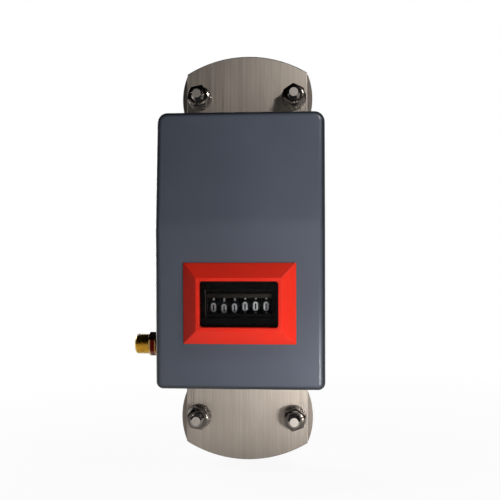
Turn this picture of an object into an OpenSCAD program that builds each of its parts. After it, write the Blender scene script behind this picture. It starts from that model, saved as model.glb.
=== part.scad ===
// Lightning strike counter: a moulded case with a six-figure electromechanical counter, carried on
// a stainless plate that two pressed saddles and four M6 bolts clamp to a down conductor.
// Millimetres. The plate stands upright along Z. Its rear face is the plane Y = 0, where the
// conductor lies, and the figures face -Y. The origin is the middle of that rear face.

/* [Base plate] */
// Distance from the bolts to the sides of the stainless base plate
plate_edge = 6.5; // [6.25:0.25:7.5]
// Reach of the base plate beyond the upper and the lower end of the case
plate_reach = 37.8; // [36:0.2:43]
// Thickness of the base plate
plate_t = 2; // [1.5:0.25:3]
// Radius of the arc that ends the base plate
plate_end_r = 57; // [50:1:62]

/* [Clamp] */
// Distance between the two bolts of a saddle
bolt_spacing_x = 47; // [46.5:0.5:48]
// Distance from the bolts to the ends of the base plate
bolt_inset = 21; // [20:0.5:22]
// Diameter of the clamp bolts
bolt_d = 6; // [5.5:0.1:6.2]
// Length of a clamp bolt under its head
bolt_l = 18; // [16:1:22]
// Radial clearance of a bolt in the plate, the saddles and the flat washers
bolt_gap = 0.2; // [0.15:0.05:0.3]
// Radial clearance of a bolt in its nut
nut_gap = 0.05; // [0.02:0.01:0.1]
// Width across flats of nuts and bolt heads
nut_af = 10; // [9.6:0.1:10.2]
// Height of a nut
nut_h = 5; // [4.5:0.25:5.5]
// Height of a bolt head
bolt_head_h = 4; // [3.5:0.25:4.5]
// Outer diameter of a flat washer
washer_d = 12; // [11.5:0.25:12.5]
// Thickness of a flat washer
washer_t = 1.6; // [1.2:0.1:2]
// Outer diameter of a spring washer
spring_washer_d = 11; // [10.5:0.1:11.5]
// Thickness of a spring washer
spring_washer_t = 1.6; // [1.2:0.1:2]
// Bulge of a saddle's sides beyond the sides of the base plate
saddle_bulge = 2.5; // [2:0.25:4]
// Thickness of the saddle sheet
saddle_t = 2; // [1.5:0.25:2.25]
// Gap between a bolt head and the wall of the conductor channel
head_gap = 1; // [0.9:0.1:1.5]
// Depth of the conductor channel behind the plate
channel_depth = 4.5; // [4.4:0.1:6]
// Inner radius of the saddle's bends
bend_r = 1; // [0.8:0.1:1]

/* [Case] */
// Width of the case
case_w = 75.5; // [74.5:0.5:78]
// Height of the case
case_h = 124.4; // [123.4:0.2:127]
// Height of the middle of the case above the middle of the plate
case_lift = 2.4; // [1:0.2:4]
// Height of the crease above the plate's front
crease_depth = 46; // [45.5:0.25:48]
// Height of the case's upper end above the plate's front
top_depth = 42; // [41.5:0.25:43]
// Height of the case's lower end above the plate's front
foot_depth = 42.15; // [42:0.05:43]
// Distance of the crease above the foot of the case
crease_up = 73.4; // [72:0.2:75]
// Radius of the soft rounding along the crease
crease_r = 50; // [30:5:60]
// Radius of the two upper corners
top_corner_r = 4.75; // [4:0.25:6]
// Radius of the two lower corners
foot_corner_r = 3.2; // [3:0.1:4]
// Radius of the rounding along the front edges
front_r = 2.8; // [2:0.1:2.9]
// Wall of the case
wall = 2.5; // [2.25:0.25:2.75]
// Thickness of the cover that closes the back of the case
back_t = 2.5; // [2:0.25:2.75]
// Thickness of the seal between case and back cover
gasket_t = 0.8; // [0.6:0.1:1]
// Width of that seal
gasket_w = 2.1; // [1.8:0.1:2.1]
// Distance of the upper case screws below the top of the case
case_screw_top = 9.2; // [9:0.2:9.8]
// Distance of the lower case screws above the foot of the case
case_screw_foot = 8.4; // [8.2:0.2:9.2]
// Diameter of the case screws
case_screw_d = 4; // [3.5:0.25:4.25]
// Length of a case screw
case_screw_l = 16; // [14:1:20]

/* [Window] */
// Width of the red bezel
bezel_w = 50; // [49:0.5:51]
// Height of the red bezel
bezel_h = 36; // [35.5:0.5:37]
// Height of the bezel above the case
bezel_rise = 5.6; // [5:0.2:6.4]
// Width of the clear window
window_w = 34.6; // [34.2:0.1:35]
// Height of the clear window
window_h = 20.4; // [20:0.1:20.8]
// Width of the flat rim round the window
rim_w = 1.5; // [1.2:0.1:2]
// Distance of the middle of the window above the foot of the case
window_up = 38.5; // [38.2:0.1:39.2]
// Thickness of the window lens
lens_t = 1.5; // [1.2:0.1:1.8]
// Thickness of the seal behind the lens
lens_seal_t = 0.6; // [0.5:0.1:0.8]

/* [Counter] */
// Diameter of a number wheel
wheel_d = 16; // [15.6:0.1:16.2]
// Width of the band that carries the figures
wheel_band = 3.1; // [3:0.05:3.1]
// Distance from one number wheel to the next
wheel_pitch = 4.7; // [4.65:0.05:4.8]
// Diameter of the wheel axle
axle_d = 3; // [2.8:0.1:3.2]
// Diameter of the carry pinions' shaft
pinion_shaft_d = 1.6; // [1.4:0.1:1.6]
// Module of the carry gears
gear_module = 0.65; // [0.65:0.01:0.66]
// Width of the slot that shows the figures
slot_w = 28.5; // [28:0.25:28.75]
// Height of the slot
slot_h = 6.7; // [6.4:0.1:7]
// Diameter of the coil's iron core
core_d = 5; // [4.5:0.25:5.5]
// Diameter of the coil winding
coil_d = 11.6; // [11:0.1:11.8]
// Air gap between the core and the armature at rest
pull_gap = 0.8; // [0.75:0.05:1]

/* [Electronics] */
// Gap between the circuit board and the side walls of the case
board_side = 4.25; // [3.25:0.25:4.75]
// Height of the circuit board
board_h = 50; // [49:0.5:50.5]
// Thickness of the circuit board
board_t = 1.6; // [1.2:0.2:2]
// Diameter of the pickup's ferrite rod
pickup_rod_d = 6; // [5:0.25:6.5]
// Length of the pickup's ferrite rod
pickup_rod_l = 38; // [36:0.5:38]
// Diameter of the pickup's winding
pickup_coil_d = 10.6; // [10:0.1:11]
// Diameter of one insulated lead
lead_d = 1.2; // [1:0.1:1.4]

/* [Jack] */
// Diameter of the jack's threaded barrel
jack_d = 9.52; // [9.2:0.04:9.6]
// Width across flats of the jack's nuts
jack_af = 10.2; // [10:0.1:10.6]
// Height of the jack's axis above the foot of the case
jack_up = 18.4; // [18.2:0.2:21.2]
// Height of the jack's axis above the plate's front
jack_depth = 20; // [20:0.2:22]
// Reach of the barrel beyond the case
jack_reach = 13.25; // [11.5:0.25:14.5]
// Thickness of the visible jam nut
jam_nut_h = 3.5; // [3:0.1:3.8]
// Thickness of the nut against the case
panel_nut_h = 2.6; // [2.3:0.1:2.8]
// Thickness of the jack's lock washer
jack_washer_t = 0.7; // [0.5:0.1:0.9]

/* [Hidden] */
$fn = 64;
// Overrun of every cut beyond the face it opens
over = 1;
// Gap left between plain pieces that are seated without touching
seat = 0.1;
// Sides of a hexagon and facets of the rounded case pucks
HEX = 6;
ARC_SIDES = 144;
PUCK_SIDES = 40;

// Levels along Y. The plate's front is the datum of every height above it.
front_y = -plate_t;
function above(h) = front_y - h;
back_cover_y = above(back_t);
rim_y = above(back_t + gasket_t);

// Places along Z
case_top = case_lift + case_h / 2;
case_foot = case_lift - case_h / 2;
crease_z = case_foot + crease_up;
crease_drop = case_h - crease_up;
lower_tilt = atan((crease_depth - foot_depth) / crease_up);
upper_tilt = atan((crease_depth - top_depth) / crease_drop);

// The window's own frame: its origin lies on the case's lower face, its +Y runs into the case
window_z = case_foot + window_up;
window_y = above(lower_h(window_z));
module window_frame() translate([0, window_y, window_z]) rotate([lower_tilt, 0, 0]) children();

// Plate and clamp places
bolt_x = bolt_spacing_x / 2;
plate_w = bolt_spacing_x + 2 * plate_edge;
plate_h = case_h + 2 * plate_reach;
bolt_z = plate_h / 2 - bolt_inset;
end_arc_z = plate_h / 2 - plate_end_r;
saddle_r = plate_w / 2 + saddle_bulge;
channel_w = 2 * (bolt_x - nut_af / 2 - head_gap - saddle_t);
saddle_inset = 0.5;
nut_chamfer_share = 0.12;
thread_chamfer = 0.7;
spring_slit = 0.8;
spring_slit_tilt = 20;
spring_slit_turn = 200;

// Case screws
case_screw_places = [for (sx = [-1, 1], z = [case_top - case_screw_top, case_foot + case_screw_foot])
    [sx * bolt_x, z]];
screw_gap = 0.2;
screw_head_d = case_screw_d * 2;
screw_head_h = (screw_head_d - case_screw_d) / 2;
boss_d = case_screw_d * 2;

// Counter places in the window's frame
skirt_wall = 0.95;
skirt_gap = 0.1;
mask_gap = 0.1;
lens_lap = 0.8;
lens_front = -2;
mask_front = lens_front + lens_t + lens_seal_t;
mask_t = 3.2;
mask_back = mask_front + mask_t;
mask_w = window_w + 2 * lens_lap;
mask_h = window_h + 2 * lens_lap;
pocket_w = 30.2;
pocket_h = 12.3;
pocket_deep = 0.8;
pocket_up = -0.25;
slot_bevel = 2;
slot_wall = 0.6;
wheels_z = -1.15;
wheel_r = wheel_d / 2;
wheel_clear = 0.5;
axle_y = mask_back + wheel_clear + wheel_r;
WHEELS = 6;
function wheel_x(k) = (k - (WHEELS + 1) / 2) * wheel_pitch;
side_gap = 0.2;
hub_w = wheel_pitch - side_gap;
hub_d = 2 * axle_d;
run_gap = 0.05;
band_wall = 1.4;
web_t = 1;

// Carry gears: twenty teeth on the right of a wheel, eight on a pinion, two on the left of a wheel
WHEEL_TEETH = 20;
PINION_TEETH = 8;
CARRY_TEETH = 2;
gear_r = gear_module * WHEEL_TEETH / 2;
pinion_r = gear_module * PINION_TEETH / 2;
gear_tip_share = 0.75;
gear_root_share = 1.2;
pinion_tip_share = 0.9;
pinion_root_share = 1.05;
tip_share = 0.2;
pinion_z = wheels_z - gear_r - pinion_r;
pinion_tip = pinion_r + pinion_tip_share * gear_module;
pinion_w = 1.3;
pinion_gap = 0.03;
gear_t = hub_w / 2 - wheel_band / 2;
carry_clear = 0.3;
carry_tip = gear_r + pinion_r - pinion_tip - carry_clear;
carry_root = carry_tip - gear_module;

// Star wheel and the drive that turns it
STAR_TEETH = 10;
star_t = 1.2;
star_tip = 6.2;
star_root = 4.2;
star_tip_w = 0.5;
star_x = wheel_x(WHEELS) + hub_w / 2;
pallet_gap = 1.65;
pallet_drop = 1.2;
pallet_tip_w = 0.7;

// Frame of the counter
cheek_t = 1.2;
cheek_clear = 0.7;
cheek_x = star_x + star_t + cheek_clear;
cheek_boss_d = axle_d + 2 * cheek_t;
frame_top = 10.6;
frame_floor_t = 1.2;
pinion_floor_gap = 0.4;
frame_floor = pinion_z - pinion_tip - pinion_floor_gap;
frame_back = 38.2;
comb_gap = 0.1;
comb_clear = 0.6;
ear_w = 9;
ear_h = 8;
ear_t = 1.2;
ear_back = 5;
ear_y = mask_back + ear_back;
ear_hole_x = 5.4;
ear_boss_d = 6;
ear_screw_d = 3;
ear_screw_l = 6;
ear_head_d = 5.5;
ear_head_h = 2;
cover_t = 1;
cover_top = frame_top + cover_t;

// Coil, yoke and armature
coil_x = 6;
coil_flange_t = 0.8;
coil_flange_d = coil_d + coil_flange_t;
yoke_clear = 0.3;
coil_y = axle_y + wheel_r + 2 * yoke_clear + coil_flange_d / 2;
yoke_t = 1.5;
yoke_w = 12;
yoke_foot = frame_floor;
coil_z = yoke_foot + yoke_t;
bobbin_wall = 0.8;
yoke_back_y = coil_y + coil_flange_d / 2 + yoke_clear;
armature_t = 1.2;
armature_z = wheels_z + star_tip + pallet_gap + pallet_drop - armature_t;
pole_z = armature_z - pull_gap;
pole_lip = 1;
pole_d = core_d + 2 * pole_lip;
pole_t = 1;
bobbin_h = pole_z - pole_t - coil_z;
armature_front = axle_y + wheel_r;
armature_tail = 3.4;
pivot_y = yoke_back_y + yoke_t / 2;
pivot_z = armature_z + armature_t / 2;
pivot_d = 1.2;
pivot_knuckle_d = 2.6;
ear_gap = 0.15;
pallet_t = star_t;
pallet_arm_h = 2;
spring_d = 2.4;
spring_wire = 0.35;
SPRING_TURNS = 9;
spring_y = pivot_y + armature_tail - spring_d / 2;
spring_l = 14;
spring_foot = pivot_z - spring_l;
post_w = 1.6;

// Electronics places
board_stand = 8;
board_y = above(board_stand);
board_drop = 2;
board_w = case_w - 2 * wall - 2 * board_side;
board_foot = case_lift - board_drop;
board_z = board_foot + board_h / 2;
board_post_d = 6;
board_post_inset = 4;
board_screw_d = 2.5;
board_screw_l = 6;
board_head_d = 5;
board_head_h = 1.8;
pickup_up = 11.8;
pickup_stand = 6.6;
pickup_z = case_foot + pickup_up;
pickup_y = above(back_t + pickup_stand);
pickup_coil_l = 26;
holder_t = 2;
terminal_w = 8;
terminal_h = 7;
terminal_deep = 8;
terminal_side = 2.5;
terminal_reach = board_w / 2 - board_post_inset - board_head_d / 2 - terminal_side - terminal_w / 2;
terminal_mid = 4;
terminal_places = [-terminal_reach, terminal_mid, terminal_reach];
terminal_up = 1;
terminal_z = board_foot + terminal_h / 2 + terminal_up;
lead_pitch = 3;
lead_straight = 3;
lead_y = board_y - board_t - terminal_deep / 2;
LEAD_SIDES = 8;
LEAD_STEPS = 4;

// Routes of the leads, chosen by hand, each from its piece up to its terminal block
pickup_route = [[22.5, -14, -43], [22.5, -14.5, -38], [22.5, -17, -28], [22.5, -17.5, -14], [20, -16.5, -6]];
counter_route = [[12.5, -19.9, -15], [12.5, -20.1, -11], [11.5, -19.5, -8], [7, -17, -5]];
jack_route = [[-28.9, -22, -36.6], [-28.9, -21.5, -30], [-27, -19, -18], [-23, -17, -7]];
lug_w = 6.5;

// Jack places
jack_z = case_foot + jack_up;
jack_y = above(jack_depth);
jack_hole_gap = 0.15;
jack_inside = 6.75;
jack_flange_d = 13;
jack_flange_t = 2;
jack_bore_d = 6.6;
jack_pin_d = 1.8;
jack_pin_bore = 1;
jack_chamfer = 0.8;
jack_fit = 0.02;
jack_corner = 0.5;
jack_nut_end = jack_washer_t + panel_nut_h + seat + jam_nut_h;
relief_t = 0.3;
relief_w = 0.2;
jack_chamfer_share = 0.06;
jack_panel_turn = 20;

// Derived sizes shared by several pieces
skirt_w = mask_w + 2 * mask_gap + 2 * skirt_wall;
skirt_h = mask_h + 2 * mask_gap + 2 * skirt_wall;
bezel_lip = 0.4;
ear_x = cheek_x + cheek_t + ear_hole_x;
thread_fit = 0.02;
socket_share = 0.6;
cavity_edge_r = 0.6;
CREASE_STEPS = 3;
gasket_inset = 0.4;
comb_w = wheel_pitch - pinion_w - 2 * comb_gap;
tooth_gap_share = 0.45;
wheel_root = gear_r - gear_root_share * gear_module;
wheel_tip = gear_r + gear_tip_share * gear_module;
pinion_root = pinion_r - pinion_root_share * gear_module;
carry_turn = 25;
knuckle_w = 7;
flap_strip = 5;
pallet_tip_z = wheels_z + star_tip + pallet_gap;
core_step = 1.5;
core_foot_d = core_d - core_step;
coil_tag_gap = 0.3;
coil_tag_x = coil_x + coil_flange_d / 2 + coil_tag_gap;
jack_tail = 2;
board_places = [for (sx = [-1, 1], up = [board_post_inset, board_h - board_post_inset])
    [sx * (board_w / 2 - board_post_inset), board_foot + up]];

// Heights of the lower and the upper front face at level z; both are tangent to the crease's arc
function lower_h(z) = crease_depth + crease_r * (1 / cos(lower_tilt) - 1) - (crease_z - z) * tan(lower_tilt);
function upper_h(z) = crease_depth + crease_r * (1 / cos(upper_tilt) - 1) - (z - crease_z) * tan(upper_tilt);

// Points of an arc from angle a0 to a1 about c
ARC_STEPS = 6;
function arc(c, r, a0, a1) = [for (i = [0:ARC_STEPS]) let (a = a0 + (a1 - a0) * i / ARC_STEPS)
    c + r * [cos(a), sin(a)]];

// A cylinder along Y that starts at y and runs by l towards +Y
module along_y(d, y, l, sides = $fn) translate([0, y, 0]) rotate([-90, 0, 0])
    cylinder(d = d, h = l, $fn = sides);

// A cylinder along X that starts at x and runs by l towards +X
module along_x(d, x, l) translate([x, 0, 0]) rotate([0, 90, 0]) cylinder(d = d, h = l);

// A block from corner lo to corner hi
module block(lo, hi) translate(lo) cube(hi - lo);

// A flat outline in X and Z, extruded along Y from y by t
module slab(y, t) translate([0, y + t, 0]) rotate([90, 0, 0]) linear_extrude(t) children();

// A flat outline of points [y, z], extruded along X from x by t
module plate_yz(x, t) translate([x, 0, 0]) rotate([90, 0, 90]) linear_extrude(t) children();

// A hexagonal bar along Z with both ends chamfered, as on a nut; its corners are turned down to round_d
module hex_body(af, h, round_d = undef, share = nut_chamfer_share) {
    corner_d = af / cos(180 / HEX);
    r = (is_undef(round_d) ? corner_d : round_d) / 2;
    chamfer = 2 * r * share;
    drop = chamfer * tan(30);
    intersection() {
        cylinder(d = corner_d, h = h, $fn = HEX);
        rotate_extrude() polygon([[0, 0], [r - chamfer, 0], [r, drop],
            [r, h - drop], [r - chamfer, h], [0, h]]);
    }
}

module ring(d, bore, h) difference() {
    cylinder(d = d, h = h);
    translate([0, 0, -over]) cylinder(d = bore, h = h + 2 * over);
}

module box_ring(w, h, inner_w, inner_h) difference() {
    square([w, h], center = true);
    square([inner_w, inner_h], center = true);
}

// The four clamp bolt places, with Z turned to point at the viewer
module at_bolts(sides = [-1, 1]) for (sz = sides, sx = [-1, 1])
    translate([sx * bolt_x, 0, sz * bolt_z]) rotate([90, 0, 0]) children();

module base_plate() color("#a9a39a") difference() {
    slab(front_y, plate_t) intersection() {
        square([plate_w, plate_h], center = true);
        union() {
            for (s = [-1, 1]) translate([0, s * end_arc_z]) circle(plate_end_r, $fn = ARC_SIDES);
            square([plate_w, 2 * end_arc_z], center = true);
        }
    }
    at_bolts() translate([0, 0, -over]) cylinder(d = bolt_d + 2 * bolt_gap, h = plate_t + 2 * over);
    for (p = case_screw_places) translate([p[0], 0, p[1]]) countersink();
}

// Clearance of a countersunk case screw whose head is flush with the plate's rear face
module countersink() {
    along_y(case_screw_d + 2 * screw_gap, above(back_t + over), back_t + plate_t + over);
    rotate([90, 0, 0]) cylinder(d1 = screw_head_d + 2 * screw_gap, d2 = case_screw_d + 2 * screw_gap,
        h = screw_head_h);
    along_y(screw_head_d + 2 * screw_gap, 0, over);
}

// Half of the pressed saddle's section, seen along the conductor: crown, wall and flange
function saddle_half() = let (
    cw = channel_w / 2,
    crown = channel_depth - bend_r,
    foot = saddle_t + bend_r,
    inner = [cw - bend_r, crown],
    outer = [cw + saddle_t + bend_r, foot])
    concat(
        arc(inner, bend_r, 90, 0),
        arc(outer, bend_r + saddle_t, 180, 270),
        [[saddle_r + over, 0], [saddle_r + over, saddle_t]],
        arc(outer, bend_r, 270, 180),
        arc(inner, bend_r + saddle_t, 0, 90));
function saddle_outline() = let (half = saddle_half(), last = len(half) - 1)
    concat(half, [for (i = [last:-1:0]) [-half[i][0], half[i][1]]]);

module clamp_saddle(s) color("#8f8c86") translate([0, 0, s * bolt_z]) difference() {
    intersection() {
        translate([0, 0, -saddle_r]) linear_extrude(2 * saddle_r) polygon(saddle_outline());
        slab(-over, channel_depth + saddle_t + 2 * over) intersection() {
            circle(saddle_r, $fn = ARC_SIDES);
            translate([0, end_arc_z - bolt_z]) circle(plate_end_r - saddle_inset, $fn = ARC_SIDES);
            translate([0, bolt_z - end_arc_z]) circle(plate_end_r - saddle_inset, $fn = ARC_SIDES);
        }
    }
    for (sx = [-1, 1]) translate([sx * bolt_x, 0, 0]) along_y(bolt_d + 2 * bolt_gap, -over,
        saddle_t + 2 * over);
}
module clamp_saddle_upper() clamp_saddle(1);
module clamp_saddle_lower() clamp_saddle(-1);

// Bolts from behind: head on the saddle, thread through saddle, plate, washers and nut
module clamp_bolt() {
    tip = bolt_l - saddle_t;
    translate([0, 0, -saddle_t - bolt_head_h]) rotate([0, 0, 30]) hex_body(nut_af, bolt_head_h);
    rotate_extrude() polygon([[0, -saddle_t - seat], [bolt_d / 2, -saddle_t - seat],
        [bolt_d / 2, tip - thread_chamfer], [bolt_d / 2 - thread_chamfer, tip], [0, tip]]);
}
module clamp_bolts_upper() color("#b9b4aa") at_bolts([1]) clamp_bolt();
module clamp_bolts_lower() color("#b9b4aa") at_bolts([-1]) clamp_bolt();

// Turn of each nut about its bolt, as left by the fitter
nut_turns = [12, 34, 50, 20];
module clamp_nuts() color("#b5b0a6") for (i = [0:3]) {
    sx = i % 2 == 0 ? -1 : 1;
    sz = i < 2 ? 1 : -1;
    translate([sx * bolt_x, above(washer_t + spring_washer_t), sz * bolt_z]) rotate([90, 0, 0])
        rotate([0, 0, nut_turns[i]]) difference() {
            hex_body(nut_af, nut_h);
            translate([0, 0, -over]) cylinder(d = bolt_d + 2 * nut_gap, h = nut_h + 2 * over);
        }
}

module spring_washers() color("#9b968d") at_bolts() translate([0, 0, plate_t + washer_t]) difference() {
    ring(spring_washer_d, bolt_d + 2 * bolt_gap, spring_washer_t);
    rotate([0, 0, spring_slit_turn]) translate([spring_washer_d / 2, 0, spring_washer_t / 2])
        rotate([spring_slit_tilt, 0, 0])
            cube([spring_washer_d / 2, spring_slit, 3 * spring_washer_t], center = true);
}

module flat_washers() color("#c4beb2") at_bolts() translate([0, 0, plate_t])
    ring(washer_d, bolt_d + 2 * bolt_gap, washer_t);

// A thin round puck whose flat face lies at height h and leans with the case's front. Its edge is
// rounded, and inset moves it inwards along its own normal.
module puck(x, z, h, r, edge_r, lean, inset) translate([x, above(h), z]) rotate([lean, 0, 0])
    translate([0, inset, 0]) rotate([-90, 0, 0]) rotate_extrude($fn = PUCK_SIDES)
        polygon(concat([[0, 0]], arc([r - edge_r, edge_r], edge_r, -90, 0), [[0, edge_r]]));

// The case's outer form, or with an inset its cavity, which runs out through the rim
module case_form(inset) {
    edge = max(front_r - inset, cavity_edge_r);
    back = rim_y + (inset > 0 ? over : 0);
    top_r = max(top_corner_r - inset, edge);
    foot_r = max(foot_corner_r - inset, edge);
    side = case_w / 2 - inset;
    top_z = case_top - inset - top_r;
    foot_z = case_foot + inset + foot_r;
    hull() for (s = [-1, 1]) {
        translate([s * (side - top_r), 0, top_z]) along_y(2 * top_r, back - edge, edge, PUCK_SIDES);
        translate([s * (side - foot_r), 0, foot_z]) along_y(2 * foot_r, back - edge, edge, PUCK_SIDES);
        puck(s * (side - top_r), top_z, upper_h(top_z), top_r, edge, -upper_tilt, inset);
        puck(s * (side - foot_r), foot_z, lower_h(foot_z), foot_r, edge, lower_tilt, inset);
        for (i = [0:CREASE_STEPS]) {
            lean = lower_tilt - (lower_tilt + upper_tilt) * i / CREASE_STEPS;
            puck(s * (side - edge), crease_z - crease_r * sin(lean),
                crease_depth - crease_r * (1 - cos(lean)), edge, edge, lean, inset);
        }
    }
}

// The case's outline seen from the front, drawn in by inset
module case_outline(inset) translate([0, case_lift]) {
    x = case_w / 2 - inset;
    z = case_h / 2 - inset;
    tr = top_corner_r - inset;
    fr = foot_corner_r - inset;
    polygon(concat(
        arc([x - tr, z - tr], tr, 0, 90),
        arc([tr - x, z - tr], tr, 90, 180),
        arc([fr - x, fr - z], fr, 180, 270),
        arc([x - fr, fr - z], fr, 270, 360)));
}

module case_shell() color("#5c616d") difference() {
    union() {
        difference() {
            case_form(0);
            case_form(wall);
        }
        for (p = case_screw_places) {
            end = (p[1] > 0 ? top_depth : foot_depth) - wall / 2;
            translate([p[0], 0, p[1]]) along_y(boss_d, above(end), end - back_t);
            far = p[1] > 0 ? case_top - wall / 2 : case_foot + wall / 2;
            block([p[0] - wall / 2, above(end), min(p[1], far)], [p[0] + wall / 2, rim_y, max(p[1], far)]);
        }
        window_frame() for (s = [-1, 1]) translate([s * ear_x, 0, wheels_z])
            along_y(ear_boss_d, wall / 2, ear_y - wall / 2);
    }
    for (p = case_screw_places) translate([p[0], 0, p[1]])
        along_y(case_screw_d + 2 * thread_fit, front_y - case_screw_l, case_screw_l);
    window_frame() {
        block([-skirt_w / 2 - skirt_gap, -over, -skirt_h / 2 - skirt_gap],
            [skirt_w / 2 + skirt_gap, wall + over, skirt_h / 2 + skirt_gap]);
        for (s = [-1, 1]) translate([s * ear_x, 0, wheels_z])
            along_y(ear_screw_d + 2 * thread_fit, ear_y + ear_t - ear_screw_l - over, ear_screw_l + over);
    }
    translate([0, jack_y, jack_z]) along_x(jack_d + 2 * jack_hole_gap, -case_w / 2 - over, wall + 2 * over);
}

module case_back() color("#565b66") difference() {
    union() {
        slab(back_cover_y, back_t) case_outline(0);
        for (p = board_places) translate([p[0], 0, p[1]])
            along_y(board_post_d, board_y, back_cover_y - board_y + seat);
    }
    for (p = case_screw_places) translate([p[0], 0, p[1]])
        along_y(case_screw_d + 2 * screw_gap, back_cover_y - over, back_t + 2 * over);
    for (p = board_places) translate([p[0], 0, p[1]])
        along_y(board_screw_d + 2 * thread_fit, board_y - over, board_screw_l);
}

module case_gasket() color("#1d1d1f") slab(rim_y, gasket_t) difference() {
    case_outline(gasket_inset);
    case_outline(gasket_inset + gasket_w);
}

// Countersunk screws whose heads lie flush in the rear of the base plate
module case_screws() color("#b7b2a8") for (p = case_screw_places) translate([p[0], 0, p[1]])
    rotate([90, 0, 0]) difference() {
        rotate_extrude() polygon([[0, 0], [screw_head_d / 2, 0], [case_screw_d / 2, screw_head_h],
            [case_screw_d / 2, case_screw_l - thread_chamfer + plate_t],
            [case_screw_d / 2 - thread_chamfer, case_screw_l + plate_t - seat],
            [0, case_screw_l + plate_t - seat]]);
        translate([0, 0, -over]) cylinder(d = case_screw_d * socket_share,
            h = over + screw_head_h * socket_share, $fn = HEX);
    }

// Red frame round the window: four mitred slopes, a flat rim and a skirt through the case
module bezel_frame() color("#e8402c") window_frame() difference() {
    union() {
        hull() {
            slab(-bezel_lip, bezel_lip) square([bezel_w, bezel_h], center = true);
            slab(-bezel_rise, bezel_lip)
                square([window_w + 2 * rim_w, window_h + 2 * rim_w], center = true);
        }
        slab(0, wall) square([skirt_w, skirt_h], center = true);
    }
    slab(-bezel_rise - over, bezel_rise + over + wall) square([window_w, window_h], center = true);
    slab(lens_front, wall - lens_front + over)
        square([mask_w + 2 * mask_gap, mask_h + 2 * mask_gap], center = true);
}

module window_lens() color("#9fb4bd", 0.35) window_frame() slab(lens_front, lens_t)
    square([mask_w, mask_h], center = true);

module lens_seal() color("#161618") window_frame() slab(lens_front + lens_t, lens_seal_t)
    box_ring(mask_w, mask_h, window_w, window_h);

// Black face of the counter: a shallow pocket, the figure slot and the bevel above it
module counter_mask() color("#141414") window_frame() difference() {
    slab(mask_front, mask_t) square([mask_w, mask_h], center = true);
    block([-pocket_w / 2, mask_front - over, pocket_up - pocket_h / 2],
        [pocket_w / 2, mask_front + pocket_deep, pocket_up + pocket_h / 2]);
    block([-slot_w / 2, mask_front - over, wheels_z - slot_h / 2],
        [slot_w / 2, mask_back + over, wheels_z + slot_h / 2]);
    plate_yz(-slot_w / 2, slot_w) polygon([
        [mask_front + pocket_deep - over, wheels_z],
        [mask_front + pocket_deep - over, wheels_z + slot_h / 2 + slot_bevel],
        [mask_front + pocket_deep, wheels_z + slot_h / 2 + slot_bevel],
        [mask_back - slot_wall, wheels_z + slot_h / 2],
        [mask_back - slot_wall, wheels_z]]);
}

// Frame of the counter: floor, two cheeks with the axle holes, comb for the pinions and two ears
module counter_frame() color("#26272a") window_frame() difference() {
    out = cheek_x + cheek_t;
    union() {
        block([-out, mask_back, frame_floor - frame_floor_t], [out, frame_back, frame_floor]);
        for (m = [0, 1]) mirror([m, 0, 0]) {
            block([cheek_x, mask_back, frame_floor - frame_floor_t], [out, frame_back, frame_top]);
            block([cheek_x, ear_y, wheels_z - ear_h / 2], [out + ear_w, ear_y + ear_t, wheels_z + ear_h / 2]);
        }
        translate([0, axle_y, wheels_z]) {
            along_x(cheek_boss_d, star_x + star_t + side_gap, cheek_x - star_x - star_t);
            along_x(cheek_boss_d, -cheek_x - seat, cheek_x + seat + wheel_x(1) - hub_w / 2 - side_gap);
        }
        for (k = [1:WHEELS]) block([wheel_x(k) - comb_w / 2, axle_y - pinion_tip, frame_floor - seat],
            [wheel_x(k) + comb_w / 2, axle_y + pinion_tip, pinion_z + pinion_shaft_d]);
        block([coil_x - post_w / 2, spring_y - post_w / 2, frame_floor - seat],
            [coil_x + post_w / 2, spring_y + post_w / 2, spring_foot]);
    }
    translate([0, axle_y, wheels_z]) {
        along_x(axle_d + 2 * thread_fit, -out - over, 2 * (out + over));
        along_x(wheel_d + 2 * comb_clear, wheel_x(1) - comb_w / 2 - seat,
            wheel_x(WHEELS) - wheel_x(1) + comb_w + 2 * seat);
    }
    translate([0, axle_y, pinion_z]) along_x(pinion_shaft_d + 2 * thread_fit, -out - over, 2 * (out + over));
    for (s = [-1, 1]) translate([s * ear_x, 0, wheels_z])
        along_y(ear_screw_d + 2 * screw_gap, ear_y - over, ear_t + 2 * over);
}

// Cap over the top and the back of the counter, with a notch for its leads
module counter_cover() color("#1b1c1e") window_frame() difference() {
    out = cheek_x + cheek_t;
    union() {
        block([-out, mask_back, frame_top], [out, frame_back + cover_t, cover_top]);
        block([-out, frame_back, frame_floor - frame_floor_t], [out, frame_back + cover_t, frame_top]);
    }
    block([coil_tag_x - lead_pitch, coil_y - lead_pitch, frame_top - over],
        [coil_tag_x + lead_pitch, coil_y + lead_pitch, cover_top + over]);
}

module pan_screw(d, l, head_d, head_h) {
    translate([0, 0, -l]) cylinder(d = d, h = l + seat);
    difference() {
        rotate_extrude() polygon(concat([[0, 0], [head_d / 2, 0]],
            arc([head_d / 2 - head_h / 2, head_h / 2], head_h / 2, 0, 90), [[0, head_h]]));
        translate([0, 0, head_h / 2]) cylinder(d = d * socket_share, h = head_h, $fn = HEX);
    }
}

module counter_screws() color("#c9c4b8") window_frame() for (s = [-1, 1])
    translate([s * ear_x, ear_y + ear_t, wheels_z]) rotate([-90, 0, 0])
        pan_screw(ear_screw_d, ear_screw_l, ear_head_d, ear_head_h);

module wheel_axle() color("#c8c8cc") window_frame() translate([0, axle_y, wheels_z])
    along_x(axle_d, -cheek_x - cheek_t, 2 * (cheek_x + cheek_t));

module pinion_axle() color("#c8c8cc") window_frame() translate([0, axle_y, pinion_z])
    along_x(pinion_shaft_d, -cheek_x - cheek_t, 2 * (cheek_x + cheek_t));

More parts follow.
